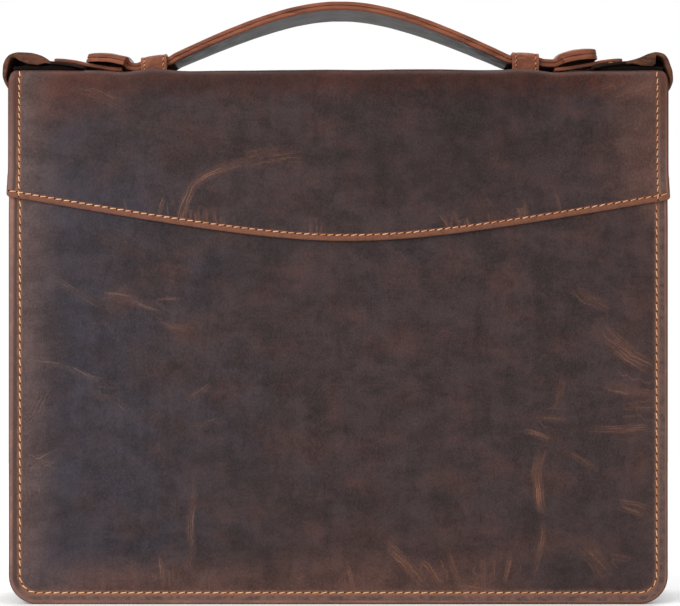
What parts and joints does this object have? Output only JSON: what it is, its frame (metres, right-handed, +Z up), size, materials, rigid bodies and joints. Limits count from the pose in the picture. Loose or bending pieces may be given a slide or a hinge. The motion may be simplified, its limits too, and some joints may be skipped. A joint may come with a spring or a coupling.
{
  "type": "leather conference folder",
  "caption": "Upright leather document folder with a curved stitched hem across the front, a zipped gusset and a sliding strap handle held in loops on its spine.",
  "frame": {"origin": "on the surface it stands on, under the middle of the closed folder", "axes": "+X to the right seen from the front, -Y towards the front with the hem, +Z up to the spine and handle"},
  "size_m": [0.3583, 0.0493, 0.3215],
  "materials": {
    "panel_leather": "waxed pull-up leather, dark brown with worn lighter rims",
    "strap_leather": "brown leather with bare copper-brown cut edges",
    "zip_tape": "dark woven tape with a row of teeth",
    "slider_metal": "aged brass",
    "stitch_thread": "waxed tan thread"
  },
  "bodies": {
    "root": {"cover_wrap": "panel_leather", "front_lower": "panel_leather", "ear_left": "strap_leather", "ear_right": "strap_leather", "end_tab_left": "strap_leather", "end_tab_right": "strap_leather", "handle_top_ply": "strap_leather", "handle_lower_ply": "strap_leather", "loop_left": "strap_leather", "loop_right": "strap_leather", "zip_band": "zip_tape", "tape_end_left": "zip_tape", "tape_end_right": "zip_tape", "zip_slider": "slider_metal"}
  },
  "joints": []
}
